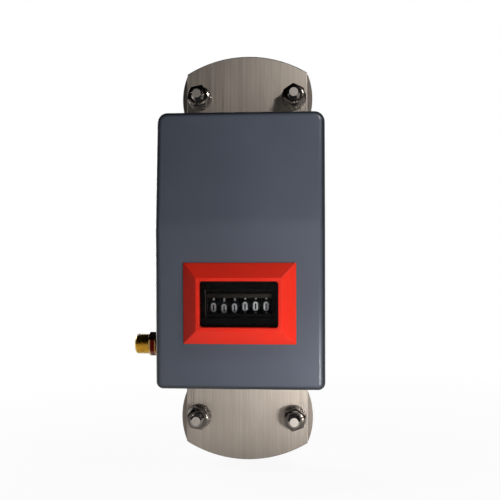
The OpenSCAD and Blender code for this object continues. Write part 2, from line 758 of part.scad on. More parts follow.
// Outline of a gear whose teeth narrow from root to tip; a tooth points along X when turn is zero
module gear_outline(teeth, count, root, tip, turn) {
    step = 360 / teeth;
    wide = step * (1 - tooth_gap_share) / 2;
    slim = step * tip_share / 2;
    union() {
        circle(root);
        for (i = [0:count - 1]) rotate(turn + i * step) polygon([[0, 0],
            root * [cos(wide), -sin(wide)], tip * [cos(slim), -sin(slim)],
            tip * [cos(slim), sin(slim)], root * [cos(wide), sin(wide)]]);
    }
}

// A number wheel: hub, web and figure band, carry gear on its right and carry teeth on its left
module number_wheel(k) color("#1a1a1c") window_frame() translate([wheel_x(k), axle_y, wheels_z])
    rotate([0, 90, 0]) difference() {
        union() {
            translate([0, 0, -hub_w / 2]) cylinder(d = hub_d, h = hub_w);
            translate([0, 0, -web_t / 2]) cylinder(d = wheel_d - band_wall, h = web_t);
            translate([0, 0, -wheel_band / 2]) ring(wheel_d, wheel_d - 2 * band_wall, wheel_band);
            if (k < WHEELS) translate([0, 0, wheel_band / 2]) linear_extrude(gear_t)
                gear_outline(WHEEL_TEETH, WHEEL_TEETH, wheel_root, wheel_tip, 0);
            if (k > 1) translate([0, 0, -hub_w / 2]) linear_extrude(gear_t)
                gear_outline(WHEEL_TEETH, CARRY_TEETH, carry_root, carry_tip, carry_turn);
        }
        translate([0, 0, -hub_w]) cylinder(d = axle_d + 2 * run_gap, h = 2 * hub_w);
    }
module number_wheel_1() number_wheel(1);
module number_wheel_2() number_wheel(2);
module number_wheel_3() number_wheel(3);
module number_wheel_4() number_wheel(4);
module number_wheel_5() number_wheel(5);
module number_wheel_6() number_wheel(6);

// The pinion between wheel k and the next one to its right
module carry_pinion(k) color("#d9d6cc") window_frame()
    translate([(wheel_x(k) + wheel_x(k + 1)) / 2 - pinion_w / 2, axle_y, pinion_z]) rotate([0, 90, 0])
        difference() {
            linear_extrude(pinion_w)
                gear_outline(PINION_TEETH, PINION_TEETH, pinion_root, pinion_tip, 180 / PINION_TEETH);
            translate([0, 0, -over]) cylinder(d = pinion_shaft_d + 2 * pinion_gap, h = pinion_w + 2 * over);
        }
module carry_pinion_1() carry_pinion(1);
module carry_pinion_2() carry_pinion(2);
module carry_pinion_3() carry_pinion(3);
module carry_pinion_4() carry_pinion(4);
module carry_pinion_5() carry_pinion(5);

// Ten-pointed star on the units wheel; the drive pallet dips between two points
module star_wheel() color("#e4e0d2") window_frame() translate([star_x, axle_y, wheels_z])
    rotate([0, 90, 0]) linear_extrude(star_t) difference() {
        polygon([for (i = [0:STAR_TEETH - 1]) let (a = (i + 0.5) * 360 / STAR_TEETH,
            half = asin(star_tip_w / 2 / star_tip)) each [
                star_tip * [cos(a - half), sin(a - half)],
                star_tip * [cos(a + half), sin(a + half)],
                star_root * [cos(a + 180 / STAR_TEETH), sin(a + 180 / STAR_TEETH)]]]);
        circle(axle_d / 2 + run_gap);
    }

// Iron flap above the coil, hinged on the yoke, with a tail for the return spring
module armature() color("#8d8f94") window_frame() difference() {
    union() {
        block([coil_x - knuckle_w / 2, armature_front, armature_z],
            [coil_x + knuckle_w / 2, pivot_y, armature_z + armature_t]);
        block([coil_x - knuckle_w / 2, armature_front, armature_z],
            [star_x + star_t, armature_front + flap_strip, armature_z + armature_t]);
        block([coil_x - post_w / 2, pivot_y, armature_z],
            [coil_x + post_w / 2, pivot_y + armature_tail, armature_z + armature_t]);
        translate([0, pivot_y, pivot_z]) along_x(pivot_knuckle_d, coil_x - knuckle_w / 2, knuckle_w);
    }
    translate([0, pivot_y, pivot_z]) along_x(pivot_d + 2 * run_gap, coil_x - knuckle_w, 2 * knuckle_w);
}

// Moulded arm that reaches from the flap to the star wheel
module drive_pallet() color("#efe9d8") window_frame() {
    low = armature_z + armature_t;
    block([star_x, axle_y - pallet_tip_w / 2 - pallet_drop, low],
        [star_x + pallet_t, armature_front + flap_strip, low + pallet_arm_h]);
    plate_yz(star_x, pallet_t) polygon([
        [axle_y - pallet_drop, low + seat], [axle_y - pallet_tip_w / 2, pallet_tip_z],
        [axle_y + pallet_tip_w / 2, pallet_tip_z], [axle_y + pallet_drop, low + seat]]);
}

module armature_pin() color("#c8c8cc") window_frame() translate([0, pivot_y, pivot_z])
    along_x(pivot_d, coil_x - yoke_w / 2, yoke_w);

// Points of a circle of wire about p, square to the direction of the unit vector t
function wire_ring(p, t, r, n) = let (
    side = cross(t, abs(t[0]) > 0.9 ? [0, 0, 1] : [1, 0, 0]),
    u = side / norm(side), v = cross(t, u))
    [for (i = [0:n - 1]) p + r * (cos(i * 360 / n) * u + sin(i * 360 / n) * v)];

// A round tube through points, as one closed skin
module tube(path, r, n) {
    last = len(path) - 1;
    rings = [for (i = [0:last]) let (d = path[min(i + 1, last)] - path[max(i - 1, 0)])
        each wire_ring(path[i], d / norm(d), r, n)];
    polyhedron(rings, concat(
        [[for (i = [0:n - 1]) i]],
        [for (i = [0:last - 1], j = [0:n - 1]) let (a = i * n + j, b = i * n + (j + 1) % n)
            each [[a, a + n, b], [b, a + n, b + n]]],
        [[for (i = [n - 1:-1:0]) last * n + i]]));
}

// Open coil between the floor post and the armature's tail
SPRING_STEPS = 8;
module return_spring() color("#d0d0d2") window_frame() {
    steps = SPRING_TURNS * SPRING_STEPS;
    top = armature_z - spring_wire / 2;
    low = spring_foot + spring_wire / 2;
    r = spring_d / 2 - spring_wire / 2;
    tube([for (i = [0:steps]) let (a = i * 360 / SPRING_STEPS)
        [coil_x + r * cos(a), spring_y + r * sin(a), low + (top - low) * i / steps]], spring_wire / 2, HEX);
}

// Iron strip round the coil: foot under it, back behind it, two ears for the armature's pin
module coil_yoke() color("#7f8186") window_frame() difference() {
    back = yoke_back_y + yoke_t;
    union() {
        block([coil_x - yoke_w / 2, coil_y - coil_d / 2, yoke_foot], [coil_x + yoke_w / 2, back, coil_z]);
        block([coil_x - yoke_w / 2, yoke_back_y, yoke_foot],
            [coil_x + yoke_w / 2, back, pivot_z - pivot_knuckle_d / 2 - 2 * ear_gap]);
        for (m = [0, 1]) translate([coil_x, 0, 0]) mirror([m, 0, 0])
            block([knuckle_w / 2 + ear_gap, yoke_back_y, yoke_foot],
                [yoke_w / 2, back, pivot_z + pivot_knuckle_d / 2]);
    }
    translate([0, pivot_y, pivot_z]) along_x(pivot_d + 2 * thread_fit, coil_x - yoke_w, 2 * yoke_w);
    translate([coil_x, coil_y, yoke_foot - over])
        cylinder(d = core_foot_d + 2 * thread_fit, h = yoke_t + 2 * over);
}

module coil_core() color("#9a9ca1") window_frame() translate([coil_x, coil_y, 0]) {
    translate([0, 0, yoke_foot]) cylinder(d = core_foot_d, h = yoke_t + seat);
    translate([0, 0, coil_z]) cylinder(d = core_d, h = pole_z - pole_t - coil_z + seat);
    translate([0, 0, pole_z - pole_t]) cylinder(d = pole_d, h = pole_t);
}

module coil_bobbin() color("#c9c4ae") window_frame() translate([coil_x, coil_y, coil_z]) difference() {
    union() {
        cylinder(d = core_d + 2 * bobbin_wall, h = bobbin_h);
        for (z = [0, bobbin_h - coil_flange_t]) translate([0, 0, z])
            cylinder(d = coil_flange_d, h = coil_flange_t);
        block([0, -lead_pitch / 2, bobbin_h - coil_flange_t],
            [coil_tag_x - coil_x + lead_pitch / 2 + lead_d, lead_pitch / 2, bobbin_h]);
    }
    translate([0, 0, -over]) cylinder(d = core_d + 2 * thread_fit, h = bobbin_h + 2 * over);
}

module coil_winding() color("#9c4a21") window_frame()
    translate([coil_x, coil_y, coil_z + coil_flange_t])
        ring(coil_d, core_d + 2 * bobbin_wall, bobbin_h - 2 * coil_flange_t);

module circuit_board() color("#1f5c38") difference() {
    block([-board_w / 2, board_y - board_t, board_foot], [board_w / 2, board_y, board_foot + board_h]);
    for (p = board_places) translate([p[0], 0, p[1]])
        along_y(board_screw_d + 2 * screw_gap, board_y - board_t - over, board_t + 2 * over);
}

module board_screws() color("#c9c4b8") for (p = board_places)
    translate([p[0], board_y - board_t, p[1]]) rotate([90, 0, 0])
        pan_screw(board_screw_d, board_screw_l, board_head_d, board_head_h);

// Moves a component that is drawn lying on the plane Z = 0 onto the front of the board
module on_board(x, z) translate([x, board_y - board_t, board_z + z]) rotate([90, 0, 0]) children();

// A can with a rolled groove, lying along the board
can_d = 12.5;
can_l = 21;
can_x_share = -0.27;
can_groove_shares = [0.8, 0.83, 0.86];
module capacitor() color("#23355c") on_board(board_w * can_x_share, 0) {
    neck = can_d / 2 - lead_d / 2;
    translate([0, can_l / 2, can_d / 2 + lead_d / 2]) rotate([90, 0, 0]) rotate_extrude() polygon([
        [0, 0], [neck, 0], [can_d / 2, lead_d / 2], [can_d / 2, can_l * can_groove_shares[0]],
        [neck, can_l * can_groove_shares[1]], [can_d / 2, can_l * can_groove_shares[2]],
        [can_d / 2, can_l - lead_d / 2], [neck, can_l], [0, can_l]]);
    for (s = [-1, 1]) translate([s * lead_pitch / 2, -can_l / 2 - lead_d / 2, 0])
        cylinder(d = lead_d / 2, h = can_d / 2 + lead_d / 2 + lead_d / 4);
    for (s = [-1, 1]) translate([s * lead_pitch / 2, -can_l / 2 + seat, can_d / 2 + lead_d / 2])
        rotate([90, 0, 0]) cylinder(d = lead_d / 2, h = lead_d / 2 + seat + lead_d / 4);
}

// An axial component: body along Y between two legs that bend down to the board
module axial(d, l) {
    leg = l / 2 + d / 2;
    wire = d / 4;
    translate([0, l / 2, d]) rotate([90, 0, 0]) cylinder(d = d, h = l);
    translate([0, leg, d]) rotate([90, 0, 0]) cylinder(d = wire, h = 2 * leg);
    for (s = [-1, 1]) translate([0, s * leg, 0]) cylinder(d = wire, h = d + wire / 2);
}
diode_d = 2.7;
diode_l = 5.2;
axial_pitch = 5.4;
axial_shift_share = 0.5;
diode_z_share = -0.16;
module rectifier_diodes() color("#202124") for (i = [0:3])
    on_board((i - axial_shift_share) * axial_pitch, board_h * diode_z_share) axial(diode_d, diode_l);

tube_d = 8;
tube_l = 6;
tube_shares = [0.2, 0.28];
module surge_arrester() color("#d8d4cc") on_board(board_w * tube_shares[0], board_h * tube_shares[1])
    rotate([0, 0, 90]) axial(tube_d, tube_l);

resistor_d = 2.4;
resistor_l = 6.4;
resistor_z_share = 0.08;
module resistors() color("#b08a55") for (i = [0:3])
    on_board((i - axial_shift_share) * axial_pitch, board_h * resistor_z_share) axial(resistor_d, resistor_l);

// Screw terminals along the foot of the board, two wire entries each
module terminal_blocks() color("#2f7a4c") for (x = terminal_places) difference() {
    translate([x, 0, terminal_z]) block([-terminal_w / 2, board_y - board_t - terminal_deep, -terminal_h / 2],
        [terminal_w / 2, board_y - board_t, terminal_h / 2]);
    for (s = [-1, 1]) translate([x + s * lead_pitch / 2, lead_y, terminal_z - terminal_h / 2 - over])
        cylinder(d = lead_d + 2 * seat, h = terminal_h / 2 + over);
}

module pickup_core() color("#3b3c40") translate([0, pickup_y, pickup_z])
    along_x(pickup_rod_d, -pickup_rod_l / 2, pickup_rod_l);

module pickup_winding() color("#a65023") translate([0, pickup_y, pickup_z]) rotate([0, 90, 0])
    translate([0, 0, -pickup_coil_l / 2]) ring(pickup_coil_d, pickup_rod_d, pickup_coil_l);

// Strip on the back cover with two ears that hold the rod, and a lug for the pickup's leads
module pickup_holder() color("#d9d5c6") difference() {
    end = pickup_rod_l / 2;
    high = pickup_rod_d / 2 + holder_t;
    union() {
        block([-end, back_cover_y - holder_t / 2, pickup_z - high], [end, back_cover_y, pickup_z + high]);
        for (m = [0, 1]) mirror([m, 0, 0]) block([end - holder_t, pickup_y - high, pickup_z - high],
            [end, back_cover_y, pickup_z + high]);
        block([end - holder_t, pickup_y - high, pickup_z + high - holder_t],
            [end + lug_w, pickup_y, pickup_z + high]);
    }
    translate([0, pickup_y, pickup_z])
        along_x(pickup_rod_d + 2 * thread_fit, -pickup_rod_l, 2 * pickup_rod_l);
}

// A smooth curve through the points of a route
function bend(p0, p1, p2, p3, t) = 0.5 * (2 * p1 + (p2 - p0) * t + (2 * p0 - 5 * p1 + 4 * p2 - p3) * t * t
    + (3 * p1 - p0 - 3 * p2 + p3) * t * t * t);
function smooth(p) = let (last = len(p) - 1) concat(
    [for (i = [0:last - 1], s = [0:LEAD_STEPS - 1])
        bend(p[max(i - 1, 0)], p[i], p[i + 1], p[min(i + 2, last)], s / LEAD_STEPS)],
    [p[last]]);

// Two leads side by side along a route, which ends inside the entries of a terminal block
module lead_pair(route, x) for (s = [-1, 1]) {
    up = [x, lead_y, terminal_z - terminal_h / 2];
    path = smooth(concat(route, [up - [0, 0, lead_straight], up, up + [0, 0, terminal_h / 2 - seat]]));
    tube([for (p = path) p + [s * lead_pitch / 2, 0, 0]], lead_d / 2, LEAD_SIDES);
}
module pickup_leads() color("#b03a2e") lead_pair(pickup_route, terminal_places[2]);
module counter_leads() color("#2e59a8") lead_pair(counter_route, terminal_places[1]);
module jack_leads() color("#3a3a3c") lead_pair(jack_route, terminal_places[0]);

// Moves a piece drawn along +Z from the case's left wall outwards
module on_jack() translate([-case_w / 2, jack_y, jack_z]) rotate([0, -90, 0]) children();

module jack_body() color("#c79a3c") on_jack() difference() {
    rotate_extrude() polygon([[0, -wall - jack_inside], [jack_d / 2, -wall - jack_inside],
        [jack_d / 2, -wall - jack_flange_t], [jack_flange_d / 2, -wall - jack_flange_t],
        [jack_flange_d / 2, -wall],
        [jack_d / 2, -wall], [jack_d / 2, jack_nut_end - seat], [jack_d / 2 - relief_t, jack_nut_end],
        [jack_d / 2 - relief_t, jack_nut_end + relief_w], [jack_d / 2, jack_nut_end + relief_w + relief_t],
        [jack_d / 2, jack_reach - jack_chamfer],
        [jack_d / 2 - jack_chamfer, jack_reach], [0, jack_reach]]);
    translate([0, 0, -wall - jack_inside - over])
        cylinder(d = jack_bore_d, h = jack_inside + wall + jack_reach + 2 * over);
}

module jack_insulator() color("#efece2") on_jack() difference() {
    translate([0, 0, -wall - jack_inside])
        cylinder(d = jack_bore_d, h = jack_inside + wall + jack_reach - jack_chamfer);
    translate([0, 0, -wall - jack_inside - over])
        cylinder(d = jack_pin_d, h = jack_inside + wall + jack_reach + 2 * over);
}

// Centre contact: a socket in front, a tail with an upright solder lug behind
module jack_contact() color("#d2a746") on_jack() difference() {
    union() {
        translate([0, 0, -wall - jack_inside - jack_tail]) cylinder(d = jack_pin_d,
            h = jack_inside + jack_tail + wall + jack_reach - jack_chamfer);
        block([0, -lead_d / 2, -wall - jack_inside - jack_tail],
            [jack_d / 2, lead_d / 2, -wall - jack_inside - 2 * seat]);
    }
    translate([0, 0, jack_reach / 2]) cylinder(d = jack_pin_bore, h = jack_reach);
}

module jack_nut(z, h, turn) on_jack() translate([0, 0, z]) rotate([0, 0, turn]) difference() {
    hex_body(jack_af, h, jack_af + 2 * jack_corner, jack_chamfer_share);
    translate([0, 0, -over]) cylinder(d = jack_d + 2 * jack_fit, h = h + 2 * over);
}
module jack_panel_nut() color("#bb8f36") jack_nut(jack_washer_t, panel_nut_h, jack_panel_turn);
module jack_jam_nut() color("#c79a3c") jack_nut(jack_washer_t + panel_nut_h + seat, jam_nut_h, 0);
module jack_lock_washer() color("#b9b2a2") on_jack()
    ring(jack_flange_d, jack_d + 2 * jack_hole_gap, jack_washer_t);

base_plate();
clamp_saddle_upper();
clamp_saddle_lower();
clamp_bolts_upper();
clamp_bolts_lower();
clamp_nuts();
spring_washers();
flat_washers();
case_shell();
case_back();
case_gasket();
case_screws();
bezel_frame();
window_lens();
lens_seal();
counter_mask();
counter_frame();
counter_cover();
counter_screws();
wheel_axle();
pinion_axle();
number_wheel_1();
number_wheel_2();
number_wheel_3();
number_wheel_4();
number_wheel_5();
number_wheel_6();
carry_pinion_1();
carry_pinion_2();
carry_pinion_3();
carry_pinion_4();
carry_pinion_5();
star_wheel();
armature();
drive_pallet();
armature_pin();
return_spring();
coil_yoke();
coil_core();
coil_bobbin();
coil_winding();
circuit_board();
board_screws();
capacitor();
rectifier_diodes();
surge_arrester();
resistors();
terminal_blocks();
pickup_core();
pickup_winding();
pickup_holder();
pickup_leads();
counter_leads();
jack_leads();
jack_body();
jack_insulator();
jack_contact();
jack_panel_nut();
jack_jam_nut();
jack_lock_washer();
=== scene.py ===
"""Looks for the lightning strike counter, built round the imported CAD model.

The floor, the lamps and the camera are placed in metres. The pieces built here are sized in millimetres. The
figures face -Y and +Z is up.
"""

import math

import bpy
import bmesh
from mathutils import Matrix, Vector


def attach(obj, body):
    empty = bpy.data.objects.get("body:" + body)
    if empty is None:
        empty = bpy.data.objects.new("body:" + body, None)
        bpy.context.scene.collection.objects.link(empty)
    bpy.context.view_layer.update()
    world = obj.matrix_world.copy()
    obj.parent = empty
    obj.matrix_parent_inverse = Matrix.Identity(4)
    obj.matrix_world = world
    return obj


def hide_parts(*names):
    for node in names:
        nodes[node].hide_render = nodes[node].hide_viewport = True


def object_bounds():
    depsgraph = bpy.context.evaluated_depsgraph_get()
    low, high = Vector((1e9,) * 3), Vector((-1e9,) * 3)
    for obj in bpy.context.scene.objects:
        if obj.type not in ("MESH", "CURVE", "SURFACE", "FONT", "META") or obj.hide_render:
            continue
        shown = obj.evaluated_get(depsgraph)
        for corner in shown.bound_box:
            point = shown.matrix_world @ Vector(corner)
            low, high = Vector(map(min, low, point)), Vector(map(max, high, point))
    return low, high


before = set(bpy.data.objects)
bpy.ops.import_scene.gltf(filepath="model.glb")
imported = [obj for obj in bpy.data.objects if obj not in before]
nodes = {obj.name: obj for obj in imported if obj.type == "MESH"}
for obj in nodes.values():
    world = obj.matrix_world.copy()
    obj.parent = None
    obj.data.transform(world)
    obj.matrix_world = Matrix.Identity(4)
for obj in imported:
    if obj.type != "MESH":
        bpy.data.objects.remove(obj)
cad_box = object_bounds()
MM = 0.001

# Directions in the frame
RIGHT = (1, 0, 0)
FRONT = (0, -1, 0)
BACK = (0, 1, 0)
TOP = (0, 0, 1)


# Node helpers

# Sockets of a Mix node: first value, second value and result
MIX_SOCKETS = {"FLOAT": (2, 3, 0), "RGBA": (6, 7, 2)}
# A noise texture has nearly all its values between these
NOISE_LOW = 0.3
NOISE_HIGH = 0.7


class Tree:
    """Short calls for the nodes of a material or of the world."""

    def __init__(self, owner):
        owner.use_nodes = True
        self.nodes = owner.node_tree.nodes
        self.links = owner.node_tree.links
        self.coord = self.node("ShaderNodeTexCoord")

    def node(self, kind, **props):
        made = self.nodes.new(kind)
        for key, value in props.items():
            setattr(made, key, value)
        return made

    def feed(self, socket, value):
        """Links socket to value, or sets it to a number or a colour."""
        if isinstance(value, bpy.types.NodeSocket):
            self.links.new(value, socket)
        elif isinstance(value, tuple):
            socket.default_value = (*value, 1)
        else:
            socket.default_value = value

    def span(self, value, to_low, to_high, low=NOISE_LOW, high=NOISE_HIGH):
        """Maps value from low..high to to_low..to_high, clamped."""
        made = self.node("ShaderNodeMapRange")
        for socket, v in zip(made.inputs, (value, low, high, to_low, to_high)):
            self.feed(socket, v)
        return made.outputs[0]

    def math(self, operation, a, b=0.0):
        made = self.node("ShaderNodeMath", operation=operation)
        for socket, v in zip(made.inputs, (a, b)):
            self.feed(socket, v)
        return made.outputs[0]

    def mix(self, fac, a, b, kind="RGBA"):
        """Gives a where fac is 0 and b where it is 1: colours, or numbers with kind FLOAT."""
        first, second, result = MIX_SOCKETS[kind]
        made = self.node("ShaderNodeMix", data_type=kind)
        for index, v in ((0, fac), (first, a), (second, b)):
            self.feed(made.inputs[index], v)
        return made.outputs[result]

    def noise(self, scale, detail=3.0, rough=0.55, stretch=(1, 1, 1)):
        """Noise from 0 to 1, with scale features per metre."""
        mapping = self.node("ShaderNodeMapping")
        mapping.inputs["Scale"].default_value = stretch
        self.links.new(self.coord.outputs["Object"], mapping.inputs["Vector"])
        made = self.node("ShaderNodeTexNoise")
        made.inputs["Scale"].default_value = scale
        made.inputs["Detail"].default_value = detail
        made.inputs["Roughness"].default_value = rough
        self.links.new(mapping.outputs["Vector"], made.inputs["Vector"])
        return made.outputs["Fac"]

    def split(self, place):
        """The X, Y and Z outputs of a place."""
        made = self.node("ShaderNodeSeparateXYZ")
        self.links.new(place, made.inputs[0])
        return made.outputs

    def blend_shaders(self, fac, first, second, end):
        """Sends the node first where fac is 0 and second where it is 1 to the output node end."""
        made = self.node("ShaderNodeMixShader")
        self.links.new(fac, made.inputs["Fac"])
        self.links.new(first.outputs[0], made.inputs[1])
        self.links.new(second.outputs[0], made.inputs[2])
        self.links.new(made.outputs[0], end.inputs["Surface"])


class Mat(Tree):
    """A Principled material, with calls for its tone, roughness and relief."""

    def __init__(self, name, colour, rough, metallic=0.0, **sockets):
        self.mat = bpy.data.materials.new(name)
        super().__init__(self.mat)
        self.bsdf = self.nodes["Principled BSDF"]
        self.colour = colour
        self.relief = None
        self.bsdf.inputs["Base Color"].default_value = (*colour, 1)
        self.bsdf.inputs["Roughness"].default_value = rough
        self.bsdf.inputs["Metallic"].default_value = metallic
        for key, value in sockets.items():
            self.bsdf.inputs[key.replace("_", " ")].default_value = value

    def ramp(self, value, dark, light, low=NOISE_LOW, high=NOISE_HIGH):
        """The colour dark where value is below low, light where it is above high."""
        made = self.node("ShaderNodeValToRGB")
        for element, at, colour in zip(made.color_ramp.elements, (low, high), (dark, light)):
            element.position = at
            element.color = (*colour, 1)
        self.links.new(value, made.inputs["Fac"])
        return made.outputs["Color"]

    def facing(self, axis, low, high):
        """0 to 1 as the surface turns toward axis, a unit vector of the frame."""
        dot = self.node("ShaderNodeVectorMath", operation="DOT_PRODUCT")
        self.links.new(self.coord.outputs["Normal"], dot.inputs[0])
        dot.inputs[1].default_value = axis
        return self.span(dot.outputs["Value"], 0.0, 1.0, low, high)

    def overlay(self, value, colour):
        """Lays a flat colour over the present base colour where value is 1."""
        under = self.bsdf.inputs["Base Color"].links[0].from_socket
        return self.to_colour(self.mix(value, under, colour))

    def to_colour(self, value):
        self.links.new(value, self.bsdf.inputs["Base Color"])
        return self

    def to_rough(self, value):
        self.links.new(value, self.bsdf.inputs["Roughness"])
        return self

    def bump(self, value, height):
        """Adds relief; height in metres is what the full range of value gives."""
        made = self.node("ShaderNodeBump")
        made.inputs["Distance"].default_value = height
        self.links.new(value, made.inputs["Height"])
        if self.relief is not None:
            self.links.new(self.relief, made.inputs["Normal"])
        self.relief = made.outputs["Normal"]
        self.links.new(self.relief, self.bsdf.inputs["Normal"])
        return self

    def tint(self, amount):
        """The base colour made lighter or darker by a share."""
        return tuple(min(1.0, c * amount) for c in self.colour)


# Kinds of surface

def brushed(name, colour, rough, **sockets):
    """Brushed stainless: fine and broad streaks along Z, under soft smudges."""
    along_z = (1, 1, 0.012)
    fine_share = 0.6
    streak = 0.22
    smudge_tone = 0.82
    smudge_share = 0.25
    relief = 2e-6
    m = Mat(name, colour, rough, metallic=1.0, **sockets)
    fine = m.noise(5200, detail=2.0, rough=0.6, stretch=along_z)
    broad = m.noise(900, detail=2.0, rough=0.5, stretch=along_z)
    smudge = m.noise(55, detail=4.0, rough=0.6)
    lines = m.math("ADD", m.math("MULTIPLY", fine, fine_share), m.math("MULTIPLY", broad, 1 - fine_share))
    tone = m.ramp(lines, m.tint(1 - streak), m.tint(1 + streak))
    m.to_colour(m.mix(m.span(smudge, 0.0, smudge_share), tone, m.tint(smudge_tone)))
    m.to_rough(m.math("ADD", m.span(lines, rough - 0.07, rough + 0.09), m.span(smudge, 0.0, 0.06)))
    return m.bump(lines, relief)


def turned(name, colour, rough, wear=0.25):
    """Satin machined or plated metal with a mottled tone, darker where it is worn."""
    dark_tone = 0.88
    light_tone = 1.1
    worn_tone = 0.6
    relief = 1.5e-6
    m = Mat(name, colour, rough, metallic=1.0)
    mottle = m.noise(1800, detail=4.0, rough=0.6)
    patch = m.noise(160, detail=3.0, rough=0.5)
    tone = m.ramp(mottle, m.tint(dark_tone), m.tint(light_tone))
    m.to_colour(m.mix(m.span(patch, 0.0, wear), tone, m.tint(worn_tone)))
    m.to_rough(m.math("ADD", m.span(mottle, rough - 0.05, rough + 0.07), m.span(patch, 0.0, 0.08)))
    return m.bump(mottle, relief)


def moulded(name, colour, rough=0.45, grain=2600, depth=9e-6, vary=0.06, **sockets):
    """Moulded plastic with a fine eroded grain and slow tone changes."""
    # The specks' scale and depth, as shares of the grain's
    speck_scale_share = 0.45
    speck_depth_share = 0.6
    m = Mat(name, colour, rough, **sockets)
    fine = m.noise(grain, detail=2.0, rough=0.5)
    slow = m.noise(28, detail=3.0, rough=0.5)
    specks = m.noise(grain * speck_scale_share, detail=1.0, rough=0.5)
    m.to_colour(m.mix(m.span(slow, 0.0, 1.0), m.tint(1 - vary), m.tint(1 + vary)))
    m.to_rough(m.math("ADD", m.span(fine, rough - 0.06, rough + 0.06), m.span(slow, -0.02, 0.03)))
    m.bump(specks, depth * speck_depth_share)
    return m.bump(fine, depth)


def wound(name, colour):
    """Enamelled wire laid side by side along Z, with painted shade in the gaps between the wires."""
    wires_per_metre = 2178.47
    # A wave texture at scale 1 has this many bands a metre
    bands_at_scale_1 = 20 / math.tau
    gap_shade_tone = 0.35
    wire_tone = 1.15
    relief = 6e-5
    m = Mat(name, colour, 0.3, metallic=0.85)
    wave = m.node("ShaderNodeTexWave", wave_type="BANDS", bands_direction="Z")
    wave.inputs["Scale"].default_value = wires_per_metre / bands_at_scale_1
    wave.inputs["Distortion"].default_value = 0.4
    m.links.new(m.coord.outputs["Object"], wave.inputs["Vector"])
    # Painted shade: the gaps between the wires are darker.
    m.to_colour(m.ramp(wave.outputs["Fac"], m.tint(gap_shade_tone), m.tint(wire_tone), low=0.1, high=0.6))
    m.to_rough(m.span(m.noise(900), 0.24, 0.4))
    return m.bump(wave.outputs["Fac"], relief)


# Materials with a look of their own

def plate_steel():
    """The plate, with a painted highlight on its right edge."""
    m = brushed("stainless_plate", (0.37, 0.322, 0.277), 0.42, Anisotropic=0.6)
    # Painted highlight: surfaces that face right are lighter, as if lit by the lamp at the right.
    return m.overlay(m.facing(RIGHT, 0.3, 0.7), (0.75, 0.70, 0.65))


def nut_steel():
    """The nuts, with painted shade on their front faces, which come out darker than their flats."""
    m = turned("stainless_nuts", (0.24, 0.21, 0.185), 0.15)
    # Painted shade: the faces toward the front are darker.
    return m.overlay(m.facing(FRONT, 0.85, 0.97), (0.12, 0.103, 0.09))


def bolt_steel():
    """The bolts, with pale dull ends and a darker, glossier thread."""
    m = turned("stainless_bolts", (0.56, 0.51, 0.46), 0.5)
    ends = m.math("MAXIMUM", m.facing(FRONT, 0.9, 0.98), m.facing(BACK, 0.9, 0.98))
    m.overlay(m.math("SUBTRACT", 1.0, ends), (0.30, 0.265, 0.235))
    return m.to_rough(m.span(ends, 0.2, 0.5, low=0.0, high=1.0))


def case_plastic():
    """The case, with painted shade on the rounded edges between its front and its sides."""
    edge_shade_tone = 0.22
    m = moulded("case_plastic", (0.088, 0.100, 0.130), 0.34, Specular_IOR_Level=0.3)
    # Painted shade: the rounded edges between the front and the sides are darkened.
    edge = m.math("SUBTRACT", m.facing(FRONT, 0.04, 0.3), m.facing(FRONT, 0.75, 0.995))
    return m.overlay(edge, m.tint(edge_shade_tone))


def red_plastic():
    """The window frame."""
    return moulded("red_plastic", (0.82, 0.030, 0.014), 0.36, grain=1500, depth=2e-6, vary=0.04,
                   Specular_IOR_Level=0.15, Subsurface_Weight=0.3, Subsurface_Scale=0.003)


def counter_black():
    """The counter's face: black, with a painted sheen on its upper bevel and a painted highlight on the left
    end of its slot.
    """
    upper_bevel = (0, -0.66, -0.75)
    m = moulded("black_plastic", (0.0014, 0.0014, 0.0016), 0.3, depth=1e-6, Specular_IOR_Level=0.08)
    # Painted sheen: the upper bevel, which faces forward and down, is lighter.
    m.overlay(m.facing(upper_bevel, 0.9, 0.97), (0.10, 0.085, 0.07))
    # Painted highlight: surfaces that face right, such as the left end of the slot, are lighter.
    return m.overlay(m.facing(RIGHT, 0.3, 0.6), (0.45, 0.35, 0.27))


def gilt():
    """The jack's gilding, darker where it faces up."""
    m = turned("gilt_brass", (0.80, 0.53, 0.09), 0.22, wear=0.3)
    return m.overlay(m.facing(TOP, 0.05, 0.75), (0.09, 0.024, 0.010))


def gilt_nut():
    """The jack's nuts, darker where they face up, with a soft-edged band of dark red lacquer."""
    # Place of the band along X and half its width, in metres
    band_middle = -0.0427
    band_half = 0.0011
    solid_share = 0.8
    faded_share = 1.15
    m = turned("gilt_nut", (0.72, 0.45, 0.16), 0.24, wear=0.35)
    along = m.split(m.coord.outputs["Object"])["X"]
    off = m.math("ABSOLUTE", m.math("SUBTRACT", along, band_middle))
    shade = m.span(off, 1.0, 0.0, low=band_half * solid_share, high=band_half * faded_share)
    m.overlay(shade, (0.10, 0.006, 0.003))
    return m.overlay(m.facing(TOP, 0.05, 0.6), (0.05, 0.014, 0.008))


def clear_lens():
    """Thin clear plastic: a view through, gloss by Fresnel, and a roughness that varies a little."""
    mat = bpy.data.materials.new("clear_lens")
    tree = Tree(mat)
    tree.nodes.remove(tree.nodes["Principled BSDF"])
    through = tree.node("ShaderNodeBsdfTransparent")
    through.inputs["Color"].default_value = (0.985, 0.99, 0.995, 1)
    gloss = tree.node("ShaderNodeBsdfPrincipled")
    gloss.inputs["Base Color"].default_value = (0.002, 0.002, 0.002, 1)
    wear = tree.node("ShaderNodeTexNoise")
    wear.inputs["Scale"].default_value = 1400
    tree.links.new(tree.coord.outputs["Object"], wear.inputs["Vector"])
    tree.feed(gloss.inputs["Roughness"], tree.span(wear.outputs["Fac"], 0.02, 0.07))
    fresnel = tree.node("ShaderNodeFresnel")
    fresnel.inputs["IOR"].default_value = 1.49
    tree.blend_shaders(fresnel.outputs["Fac"], through, gloss, tree.nodes["Material Output"])
    return mat


